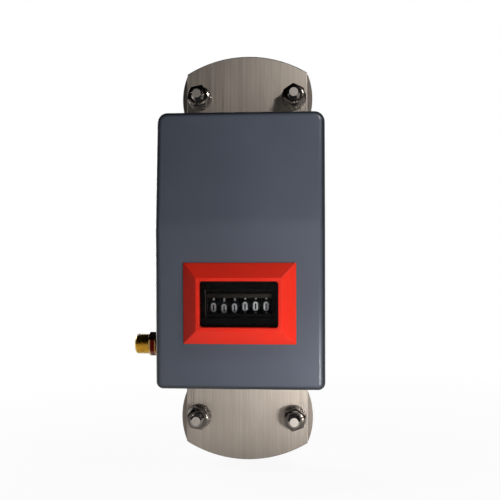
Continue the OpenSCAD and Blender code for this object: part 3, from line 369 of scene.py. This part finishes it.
BOLT_STEEL = bolt_steel()
SADDLE_STEEL = brushed("stainless_saddle", (0.24, 0.205, 0.175), 0.36)
RED = red_plastic()
GILT = gilt()
NATURAL = moulded("natural_plastic", (0.66, 0.62, 0.5), 0.4, depth=3e-6, Subsurface_Weight=0.1)
FIGURE = moulded("figure_paint", (0.96, 0.96, 0.97), 0.5, depth=2e-6)
WHEEL = moulded("wheel_plastic", (0.003, 0.003, 0.0035), 0.35, depth=2e-6, Specular_IOR_Level=0.2)
RUBBER = moulded("seal_rubber", (0.018, 0.018, 0.02), 0.75, grain=1800, depth=2e-5)
FERRITE = moulded("ferrite", (0.03, 0.03, 0.033), 0.42, grain=1400, depth=1.2e-5)

LOOK = [
    (plate_steel().mat, ["base_plate"]),
    (SADDLE_STEEL.mat, ["clamp_saddle_upper", "clamp_saddle_lower"]),
    (BOLT_STEEL.mat, ["clamp_bolts_upper", "clamp_bolts_lower"]),
    (nut_steel().mat, ["clamp_nuts"]),
    (turned("stainless_washers", (0.30, 0.265, 0.235), 0.2).mat, ["spring_washers", "flat_washers"]),
    (case_plastic().mat, ["case_shell"]),
    (moulded("cover_plastic", (0.075, 0.084, 0.105), 0.45, grain=2000).mat, ["case_back"]),
    (RED.mat, ["bezel_frame"]),
    (counter_black().mat, ["counter_mask", "counter_frame", "counter_cover"]),
    (WHEEL.mat, [f"number_wheel_{k}" for k in range(1, 7)]),
    (RUBBER.mat, ["case_gasket", "lens_seal"]),
    (NATURAL.mat, ["star_wheel", "drive_pallet", "coil_bobbin", "pickup_holder", "jack_insulator"]),
    (NATURAL.mat, [f"carry_pinion_{k}" for k in range(1, 6)]),
    (turned("screw_steel", (0.5, 0.49, 0.46), 0.25).mat, ["case_screws", "counter_screws", "board_screws"]),
    (turned("bright_steel", (0.6, 0.6, 0.61), 0.16).mat,
     ["wheel_axle", "pinion_axle", "armature_pin", "return_spring", "jack_lock_washer"]),
    (turned("soft_iron", (0.34, 0.35, 0.37), 0.35).mat, ["armature", "coil_yoke", "coil_core"]),
    (GILT.mat, ["jack_body", "jack_contact"]),
    (gilt_nut().mat, ["jack_panel_nut", "jack_jam_nut"]),
    (moulded("board_laminate", (0.012, 0.09, 0.035), 0.32, depth=4e-6).mat, ["circuit_board"]),
    (moulded("capacitor_sleeve", (0.012, 0.025, 0.085), 0.28, depth=3e-6).mat, ["capacitor"]),
    (moulded("component_black", (0.012, 0.012, 0.013), 0.5).mat, ["rectifier_diodes"]),
    (moulded("component_ceramic", (0.66, 0.62, 0.55), 0.2, depth=2e-6).mat, ["surge_arrester"]),
    (moulded("component_tan", (0.45, 0.27, 0.1), 0.3, depth=6e-6).mat, ["resistors"]),
    (moulded("terminal_plastic", (0.03, 0.2, 0.075), 0.4).mat, ["terminal_blocks"]),
    (FERRITE.mat, ["pickup_core"]),
    (wound("enamelled_copper", (0.5, 0.13, 0.035)).mat, ["coil_winding", "pickup_winding"]),
    (moulded("lead_red", (0.42, 0.02, 0.015), 0.42, depth=3e-6).mat, ["pickup_leads"]),
    (moulded("lead_blue", (0.02, 0.05, 0.32), 0.42, depth=3e-6).mat, ["counter_leads"]),
    (moulded("lead_black", (0.01, 0.01, 0.011), 0.42, depth=3e-6).mat, ["jack_leads"]),
    (clear_lens(), ["window_lens"]),
]
for material, names in LOOK:
    for name in names:
        mesh = nodes[name].data
        mesh.materials.clear()
        mesh.materials.append(material)


# Edges of the CAD nodes

# Corners this close together, in metres, are joined
WELD = 2e-6
# Edges that turn more than this stay sharp
SHARP_ANGLE = math.radians(30)
# Edges that turn more than this are rounded
BEVEL_ANGLE = math.radians(35)
BEVEL_SEGMENTS = 2
FLATS_WEIGHT = 80


def smoothing_group():
    """Joins split corners, shades smooth and keeps sharp edges sharp."""
    g = bpy.data.node_groups.new("cad_smoothing", "GeometryNodeTree")
    g.interface.new_socket("Geometry", in_out="INPUT", socket_type="NodeSocketGeometry")
    g.interface.new_socket("Geometry", in_out="OUTPUT", socket_type="NodeSocketGeometry")
    start = g.nodes.new("NodeGroupInput")
    end = g.nodes.new("NodeGroupOutput")
    merge = g.nodes.new("GeometryNodeMergeByDistance")
    merge.inputs["Distance"].default_value = WELD
    faces = g.nodes.new("GeometryNodeSetShadeSmooth")
    edges = g.nodes.new("GeometryNodeSetShadeSmooth")
    edges.domain = "EDGE"
    edges.inputs["Shade Smooth"].default_value = False
    angle = g.nodes.new("GeometryNodeInputMeshEdgeAngle")
    sharp = g.nodes.new("FunctionNodeCompare")
    sharp.operation = "GREATER_THAN"
    sharp.inputs[1].default_value = SHARP_ANGLE
    link = g.links.new
    link(start.outputs[0], merge.inputs["Geometry"])
    link(merge.outputs[0], faces.inputs["Geometry"])
    link(faces.outputs[0], edges.inputs["Geometry"])
    link(angle.outputs["Unsigned Angle"], sharp.inputs[0])
    link(sharp.outputs[0], edges.inputs["Selection"])
    link(edges.outputs[0], end.inputs[0])
    return g


SMOOTHING = smoothing_group()


def finish_edges(obj, bevel):
    """Rounds the sharp edges of a CAD node by bevel millimetres and keeps its flats flat."""
    obj.modifiers.new("smoothing", "NODES").node_group = SMOOTHING
    if bevel:
        edge = obj.modifiers.new("edge", "BEVEL")
        edge.width = bevel * MM
        edge.segments = BEVEL_SEGMENTS
        edge.limit_method = "ANGLE"
        edge.angle_limit = BEVEL_ANGLE
        edge.harden_normals = False
    flats = obj.modifiers.new("flats", "WEIGHTED_NORMAL")
    flats.mode = "FACE_AREA"
    flats.weight = FLATS_WEIGHT
    flats.keep_sharp = True


# Roundings of the CAD nodes' edges, in millimetres
BEVELS = {
    "base_plate": 0.4,
    "clamp_saddle_upper": 0.25,
    "clamp_saddle_lower": 0.25,
    "clamp_nuts": 0.12,
    "spring_washers": 0.15,
    "flat_washers": 0.15,
    "case_shell": 0.15,
    "case_back": 0.35,
    "case_gasket": 0.1,
    "case_screws": 0.1,
    "bezel_frame": 0.28,
    "counter_mask": 0.12,
    "window_lens": 0.1,
    "jack_panel_nut": 0.15,
    "jack_jam_nut": 0.45,
    "jack_lock_washer": 0.12,
    "jack_insulator": 0.1,
    "jack_contact": 0.1,
}
for name, node in nodes.items():
    finish_edges(node, BEVELS.get(name, 0.0))


# Helpers for the pieces built here

def piece(name, bm, material, body):
    """Makes an object of bm that rides body, with its edges above SHARP_ANGLE sharp."""
    mesh = bpy.data.meshes.new(name)
    bmesh.ops.recalc_face_normals(bm, faces=bm.faces)
    for f in bm.faces:
        f.smooth = True
    for e in bm.edges:
        e.smooth = not (e.is_manifold and e.calc_face_angle(0) > SHARP_ANGLE)
    bm.to_mesh(mesh)
    bm.free()
    obj = bpy.data.objects.new(name, mesh)
    bpy.context.scene.collection.objects.link(obj)
    mesh.materials.append(material)
    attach(obj, body)
    return obj


def circle(bm, place, z, around, radius_at):
    """A ring of corners round local Z at height z; radius_at gives the radius of corner j at its angle."""
    ring = []
    for j in range(around):
        angle = 2 * math.pi * j / around
        r = radius_at(j, angle)
        ring.append(bm.verts.new(place @ (Vector((r * math.cos(angle), r * math.sin(angle), z)) * MM)))
    return ring


def band(bm, lower, upper):
    """Faces between two rings with the same number of corners."""
    for j in range(len(lower)):
        k = (j + 1) % len(lower)
        bm.faces.new((lower[j], lower[k], upper[k], upper[j]))


def cone(bm, ring, apex):
    """Faces from a ring to one corner."""
    for j in range(len(ring)):
        bm.faces.new((ring[j], ring[(j + 1) % len(ring)], apex))


# Shares of half a pitch taken by a thread's root and by its flank
ROOT_SHARE = 0.18
FLANK_SHARE = 0.62
ROWS_PER_TURN = 8


def threaded_rod(bm, place, r, depth, pitch, start, end, tip, around, bore=0.0):
    """A rod along local Z from start to end with a helical thread and a tip chamfered by tip at its end.

    A bore above 0 makes it a tube.
    """
    rows = math.ceil((end - start) / pitch * ROWS_PER_TURN)
    rings = []
    for i in range(rows + 1):
        z = start + (end - start) * i / rows

        def radius(j, angle):
            phase = ((z - start) / pitch - j / around) % 1.0
            ridge = 1 - abs(2 * phase - 1)
            crest = min(1.0, max(0.0, (ridge - ROOT_SHARE) / FLANK_SHARE))
            return min(r - depth * (1 - crest), r - tip + end - z)

        rings.append(circle(bm, place, z, around, radius))
    for lower, upper in zip(rings, rings[1:]):
        band(bm, lower, upper)
    if bore:
        foot = circle(bm, place, start, around, lambda j, angle: bore)
        mouth = circle(bm, place, end, around, lambda j, angle: bore)
        band(bm, rings[0], foot)
        band(bm, rings[-1], mouth)
        band(bm, foot, mouth)
    else:
        for ring, z in ((rings[0], start), (rings[-1], end)):
            cone(bm, ring, bm.verts.new(place @ Vector((0, 0, z * MM))))


def hex_head(bm, place, flats, low, high, turn):
    """A hexagonal head from low to high along local Z, its corners turned off at low and a little at high."""
    around = 48
    chamfer_share = 0.12
    midway = 0.4
    high_cut_share = 0.3
    corner = flats / math.cos(math.pi / 6) / 2
    cut = 2 * corner * chamfer_share
    rise = cut * math.tan(math.radians(30))
    levels = [
        (low, corner - cut),
        (low + midway * rise, corner - (1 - midway) * cut),
        (low + rise, corner),
        (high - high_cut_share * rise, corner),
        (high, corner - high_cut_share * cut),
    ]
    rings = []
    for z, limit in levels:

        def radius(j, angle):
            within = (angle - turn) % (math.pi / 3) - math.pi / 6
            return min(flats / 2 / math.cos(within), limit)

        rings.append(circle(bm, place, z, around, radius))
    for lower, upper in zip(rings, rings[1:]):
        band(bm, lower, upper)
    bm.faces.new(rings[0])
    bm.faces.new(rings[-1])


def lathe(bm, place, outline, around):
    """A closed outline of radius and height turned about local Z."""
    rings = [circle(bm, place, z, around, lambda j, angle: r) for r, z in outline]
    for lower, upper in zip(rings, rings[1:] + rings[:1]):
        band(bm, lower, upper)


# Clamp bolts, M6, standing forward out of the saddles

BOLT_X = 23.5
BOLT_Z = 79.0
BOLT_R = 3.0
BOLT_PITCH = 1.0
BOLT_THREAD_DEPTH = 0.55
BOLT_TIP = 0.9
BOLT_FRONT = 16.0
BOLT_AROUND = 48
# The heads bear on the saddles this far behind the plate's rear face
HEAD_SEAT = 2.0
HEAD_T = 4.0
HEAD_FLATS = 10.0
HEAD_TURN = math.radians(30)
# How far a shank starts inside its head
SHANK_SINK = 0.1


def clamp_bolts(side, up):
    """The two bolts of the upper clamp, with up 1, or of the lower one, with up -1."""
    bm = bmesh.new()
    for across in (-1, 1):
        middle = Vector((across * BOLT_X, 0, up * BOLT_Z)) * MM
        place = Matrix.Translation(middle) @ Matrix.Rotation(math.pi / 2, 4, "X")
        threaded_rod(bm, place, BOLT_R, BOLT_THREAD_DEPTH, BOLT_PITCH, -HEAD_SEAT - SHANK_SINK, BOLT_FRONT,
                     BOLT_TIP, BOLT_AROUND)
        hex_head(bm, place, HEAD_FLATS, -HEAD_SEAT - HEAD_T, -HEAD_SEAT, HEAD_TURN)
    bolts = piece(f"bolts_{side}", bm, BOLT_STEEL.mat, f"clamp_{side}")
    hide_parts(f"clamp_bolts_{side}")


clamp_bolts("upper", 1)
clamp_bolts("lower", -1)


# Jack: a threaded barrel with its flange, relief and bore. Heights count outward from the case's left side

CASE_W = 75.5
JACK_Y = -22.0
JACK_Z = -41.4
JACK_R = 4.76
JACK_BORE_R = 3.3
JACK_RELIEF_R = 4.4
JACK_FLANGE_R = 6.5
JACK_PITCH = 0.794
JACK_THREAD_DEPTH = 0.42
JACK_TIP = 0.8
JACK_INNER_END = -9.25
JACK_FLANGE_BACK = -4.5
JACK_FLANGE_FRONT = -2.5
JACK_RELIEF_END = 7.2
JACK_OUTER_END = 13.25
# How far the threaded tube reaches back over the relief
JACK_LAP = 0.25
JACK_AROUND = 64
JACK = Matrix.Translation(Vector((-CASE_W / 2, JACK_Y, JACK_Z)) * MM) @ Matrix.Rotation(-math.pi / 2, 4, "Y")


def jack_thread():
    """The barrel of the jack, in place of its plain CAD body."""
    bm = bmesh.new()
    lathe(bm, JACK, [
        (JACK_BORE_R, JACK_INNER_END),
        (JACK_R, JACK_INNER_END),
        (JACK_R, JACK_FLANGE_BACK),
        (JACK_FLANGE_R, JACK_FLANGE_BACK),
        (JACK_FLANGE_R, JACK_FLANGE_FRONT),
        (JACK_RELIEF_R, JACK_FLANGE_FRONT),
        (JACK_RELIEF_R, JACK_RELIEF_END),
        (JACK_BORE_R, JACK_RELIEF_END),
    ], JACK_AROUND)
    threaded_rod(bm, JACK, JACK_R, JACK_THREAD_DEPTH, JACK_PITCH, JACK_RELIEF_END - JACK_LAP, JACK_OUTER_END,
                 JACK_TIP, JACK_AROUND, JACK_BORE_R)
    jack = piece("jack_thread", bm, GILT.mat, "root")
    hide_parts("jack_body")


jack_thread()


# Window: its axes have X along the counter, Y into the case and Z up the sloping front

CREASE_DEPTH = 46.0
FOOT_DEPTH = 42.15
# Height of the slope from the case's lower end to its crease
SLOPE_H = 73.4
WINDOW_Y = -46.2381
WINDOW_Z = -21.3
TILT = math.atan((CREASE_DEPTH - FOOT_DEPTH) / SLOPE_H)
WINDOW = Matrix.Translation(Vector((0, WINDOW_Y, WINDOW_Z)) * MM) @ Matrix.Rotation(TILT, 4, "X")

WINDOW_W = 34.6
WINDOW_H = 20.4
FILLET_R = 1.4
FILLET_STEPS = 8
# How far a fillet reaches into the frame round it
FILLET_SINK = 0.1
# The fillets run from just under the frame's rim to the lens
FILLET_FRONT = -5.57
FILLET_BACK = -2.0


def fillet_section():
    """The outline of the upper right fillet, seen from the front."""
    half_w = WINDOW_W / 2
    half_h = WINDOW_H / 2
    turns = [math.pi / 2 * (FILLET_STEPS - i) / FILLET_STEPS for i in range(FILLET_STEPS + 1)]
    section = [(half_w + FILLET_SINK, half_h + FILLET_SINK), (half_w - FILLET_R, half_h + FILLET_SINK)]
    section += [(half_w - FILLET_R + FILLET_R * math.cos(a), half_h - FILLET_R + FILLET_R * math.sin(a))
                for a in turns]
    section.append((half_w + FILLET_SINK, half_h - FILLET_R))
    return section


def frame_fillets():
    """Rounds the four corners of the red frame's opening."""
    bm = bmesh.new()
    for across in (-1, 1):
        for up in (-1, 1):
            section = [(across * x, up * z) for x, z in fillet_section()]
            ends = [[bm.verts.new(WINDOW @ (Vector((x, y, z)) * MM)) for x, z in section]
                    for y in (FILLET_FRONT, FILLET_BACK)]
            band(bm, *ends)
            for end in ends:
                bm.faces.new(end)
    piece("frame_fillets", bm, RED.mat, "root")


frame_fillets()


# Figures on the number wheels

WHEELS = 6
WHEEL_R = 8.0
WHEEL_PITCH = 4.7
AXLE_Y = 11.8
AXLE_Z = -1.15
DIGIT_TURN = 36.0
FIG_W = 2.3
FIG_H = 4.4
STROKE = 0.85
# The figures stand left of the middle of their wheels, as in the photograph
FIG_OFFSET = -0.22
FIG_RISE = 0.03
FIG_SINK = 0.05
# Least step between the points that are added along a stroke
FIG_STEP = 0.35
# How far up each wheel's figures stand in the slot at rest, from the left wheel to the right one
FIG_LIFTS = (-1.1, -1.6, -1.3, -0.6, -0.5, -0.5)


def arc(cx, cy, rx, ry, start, end, steps=10):
    """Points on an ellipse round cx, cy from the angle start to end, in degrees."""
    turns = [math.radians(start + (end - start) * i / steps) for i in range(steps + 1)]
    return [(cx + rx * math.cos(a), cy + ry * math.sin(a)) for a in turns]


def strokes(digit):
    """Centre lines of a tall narrow figure in a box of FIG_W by FIG_H, with its middle at zero."""
    w = (FIG_W - STROKE) / 2
    h = (FIG_H - STROKE) / 2
    stem_x = 0.1
    flag_drop = 0.75
    return {
        0: [arc(0, h - w, w, w, 0, 180) + arc(0, w - h, w, w, 180, 360) + [(w, h - w)]],
        1: [[(-w * 0.5, h - flag_drop), (stem_x, h), (stem_x, -h)]],
        2: [arc(0, h - w, w, w, 165, 0) + [(w * 0.9, h - 1.7 * w), (-w, -h), (w, -h)]],
        3: [arc(0, h - w, w, w, 160, -60), arc(0, w * 1.05 - h, w, w * 1.1, 80, -160)],
        4: [[(w * 0.55, -h), (w * 0.55, h), (-w, -h * 0.35), (w * 1.1, -h * 0.35)]],
        5: [[(w, h), (-w * 0.85, h), (-w * 0.95, h * 0.15)] + arc(0, w * 1.15 - h, w, w * 1.2, 130, -160)],
        6: [arc(0, h - w, w, w, 30, 180) + arc(0, w - h, w, w, 180, 360)
            + arc(0, 1.25 * w - h, w, w, 0, 180)],
        7: [[(-w, h), (w, h), (-w * 0.25, -h)]],
        8: [arc(0, h - w * 0.9, w * 0.9, w * 0.9, 0, 360, 16), arc(0, w * 1.05 - h, w, w * 1.1, 0, 360, 16)],
        9: [arc(0, h - 1.25 * w, w, w, 180, 360) + arc(0, h - w, w, w, 0, 180) + [(-w, h - 1.25 * w)],
            arc(0, w - h, w, w, 0, -150)],
    }[digit]


def dense(line):
    """The line with points added along its longer steps."""
    points = [line[0]]
    for end in line[1:]:
        start = points[-1]
        n = max(1, int(math.hypot(end[0] - start[0], end[1] - start[1]) / FIG_STEP))
        points += [(start[0] + (end[0] - start[0]) * i / n, start[1] + (end[1] - start[1]) * i / n)
                   for i in range(1, n + 1)]
    return points


def ribbon(line):
    """The outline pairs of a line drawn with a pen of STROKE."""
    pairs = []
    for i, p in enumerate(line):
        a = line[max(i - 1, 0)]
        b = line[min(i + 1, len(line) - 1)]
        dx, dy = b[0] - a[0], b[1] - a[1]
        size = math.hypot(dx, dy) or 1
        nx, ny = -dy / size * STROKE / 2, dx / size * STROKE / 2
        pairs.append(((p[0] + nx, p[1] + ny), (p[0] - nx, p[1] - ny)))
    return pairs


def on_wheel(x, rise, angle):
    """The place at x along the axle and rise above a wheel's rim, at an angle up from the window."""
    r = WHEEL_R + rise
    return WINDOW @ (Vector((x, AXLE_Y - r * math.cos(angle), AXLE_Z + r * math.sin(angle))) * MM)


def figures(k, lift):
    """Raised figures 0 to 9 round wheel k, lifted in the slot by lift."""
    bm = bmesh.new()
    middle = (k - (WHEELS + 1) / 2) * WHEEL_PITCH + FIG_OFFSET
    for digit in range(10):
        turn = math.radians(digit * DIGIT_TURN)
        for line in strokes(digit):
            rows = []
            for left, right in ribbon(dense(line)):
                corners = ((left, -FIG_SINK), (left, FIG_RISE), (right, FIG_RISE), (right, -FIG_SINK))
                rows.append([bm.verts.new(on_wheel(middle + x, rise, turn + (z + lift) / WHEEL_R))
                             for (x, z), rise in corners])
            for a, b in zip(rows, rows[1:]):
                band(bm, a, b)
            bm.faces.new(rows[0])
            bm.faces.new(rows[-1])
    body = "units_wheel" if k == WHEELS else f"wheel_{k}"
    piece(f"figures_{k}", bm, FIGURE.mat, body)


for k, lift in enumerate(FIG_LIFTS, 1):
    figures(k, lift)


# Floor

FLOOR_HALF = 4.0
FLOOR_GAP = 0.0005
# Half of the floor's white shows in gloss
FLOOR_GLOSS = 0.5


def floor_material():
    """Pale floor: white to the camera, a little less near the object, where its shadow shows."""
    m = Mat("floor", (0.85, 0.85, 0.85), 0.9, Specular_IOR_Level=0.0)
    white = m.node("ShaderNodeEmission")
    white.inputs["Color"].default_value = (1, 1, 1, 1)
    path = m.node("ShaderNodeLightPath").outputs
    seen = m.math("MAXIMUM", path["Is Camera Ray"], path["Is Transmission Ray"])
    seen = m.math("MAXIMUM", seen, m.math("MULTIPLY", path["Is Glossy Ray"], FLOOR_GLOSS))
    reach = m.node("ShaderNodeVectorMath", operation="LENGTH")
    m.links.new(m.coord.outputs["Object"], reach.inputs[0])
    fade = m.span(reach.outputs["Value"], 0.93, 1.0, low=0.08, high=0.4)
    m.blend_shaders(m.math("MULTIPLY", seen, fade), m.bsdf, white, m.nodes["Material Output"])
    return m.mat


def floor():
    """A wide plane just under the object."""
    bm = bmesh.new()
    bmesh.ops.create_grid(bm, x_segments=1, y_segments=1, size=FLOOR_HALF)
    mesh = bpy.data.meshes.new("floor")
    bm.to_mesh(mesh)
    bm.free()
    obj = bpy.data.objects.new("floor", mesh)
    obj.location = (0, 0, cad_box[0][2] - FLOOR_GAP)
    bpy.context.scene.collection.objects.link(obj)
    mesh.materials.append(floor_material())


floor()


# World

def studio_world():
    """White to the camera and through the lens; a room with a bright back to gloss and diffuse light."""
    world = bpy.data.worlds.new("studio")
    bpy.context.scene.world = world
    tree = Tree(world)
    path = tree.node("ShaderNodeLightPath").outputs
    toward = tree.split(tree.coord.outputs["Generated"])
    # For gloss it is white behind the object, near black in front, and darker to the left and overhead
    room = tree.span(toward["Y"], 0.012, 1.0, low=0.2, high=0.75)
    room = tree.math("MULTIPLY", room, tree.span(toward["X"], 0.12, 1.0, low=-0.4, high=0.3))
    room = tree.math("MULTIPLY", room, tree.span(toward["Z"], 1.0, 0.2, low=0.0, high=0.5))
    soft = tree.span(toward["Y"], 0.025, 0.3, low=0.0, high=0.9)
    level = tree.mix(path["Is Glossy Ray"], soft, room, kind="FLOAT")
    seen = tree.math("MAXIMUM", path["Is Camera Ray"], path["Is Transmission Ray"])
    background = tree.nodes["Background"]
    background.inputs["Color"].default_value = (1, 1, 1, 1)
    tree.feed(background.inputs["Strength"], tree.mix(seen, level, 1.0, kind="FLOAT"))


studio_world()


# Lamps

LAMP_AIM = Vector((0, -0.02, 0))
# Name, place, size in metres and power in watts
LAMPS = (
    ("box_high", (0.105, -0.14, 0.14), 0.022, 0.15),
    ("box_low", (0.08, -0.145, -0.08), 0.03, 0.125),
    ("box_front", (0.05, -0.42, 0.02), 0.05, 0.075),
    ("back_soft", (-0.25, 0.7, 0.1), 0.5, 3.2),
    ("side_soft", (-0.5, 0.45, 0.15), 0.4, 3.5),
)


def aim(obj, direction):
    """Turns a lamp or a camera to look along direction."""
    obj.rotation_mode = "QUATERNION"
    obj.rotation_quaternion = direction.to_track_quat("-Z", "Y")


def lamp(name, place, size, power):
    """A square area lamp that faces the middle of the case and that the camera doesn't see."""
    data = bpy.data.lights.new(name, "AREA")
    data.size = size
    data.energy = power
    obj = bpy.data.objects.new(name, data)
    obj.location = place
    aim(obj, LAMP_AIM - Vector(place))
    obj.visible_camera = False
    bpy.context.scene.collection.objects.link(obj)


for entry in LAMPS:
    lamp(*entry)


# Camera, fitted to the photograph

PHOTO_PX = 500
FOCAL_PX = 808.0
# Pixel of the photograph where the perpendicular from the camera to the plate lands
SQUARE_PX = (307.6, 269.3)
SENSOR_W = 36.0
CAMERA_PLACE = (0.030, -0.402, -0.0062)


def photo_camera():
    """The camera that sees plate and case as the photograph does."""
    yaw = math.atan((SQUARE_PX[0] - PHOTO_PX / 2) / FOCAL_PX)
    pitch = math.atan((SQUARE_PX[1] - PHOTO_PX / 2) / FOCAL_PX)
    data = bpy.data.cameras.new("camera")
    data.sensor_width = SENSOR_W
    data.lens = FOCAL_PX / PHOTO_PX * SENSOR_W
    data.clip_start = 0.01
    data.clip_end = 50
    camera = bpy.data.objects.new("camera", data)
    camera.location = CAMERA_PLACE
    aim(camera, Vector((-math.sin(yaw) * math.cos(pitch), math.cos(yaw) * math.cos(pitch), math.sin(pitch))))
    bpy.context.scene.collection.objects.link(camera)
    bpy.context.scene.camera = camera


photo_camera()
bpy.context.scene.view_settings.view_transform = "Standard"

bpy.context.view_layer.update()
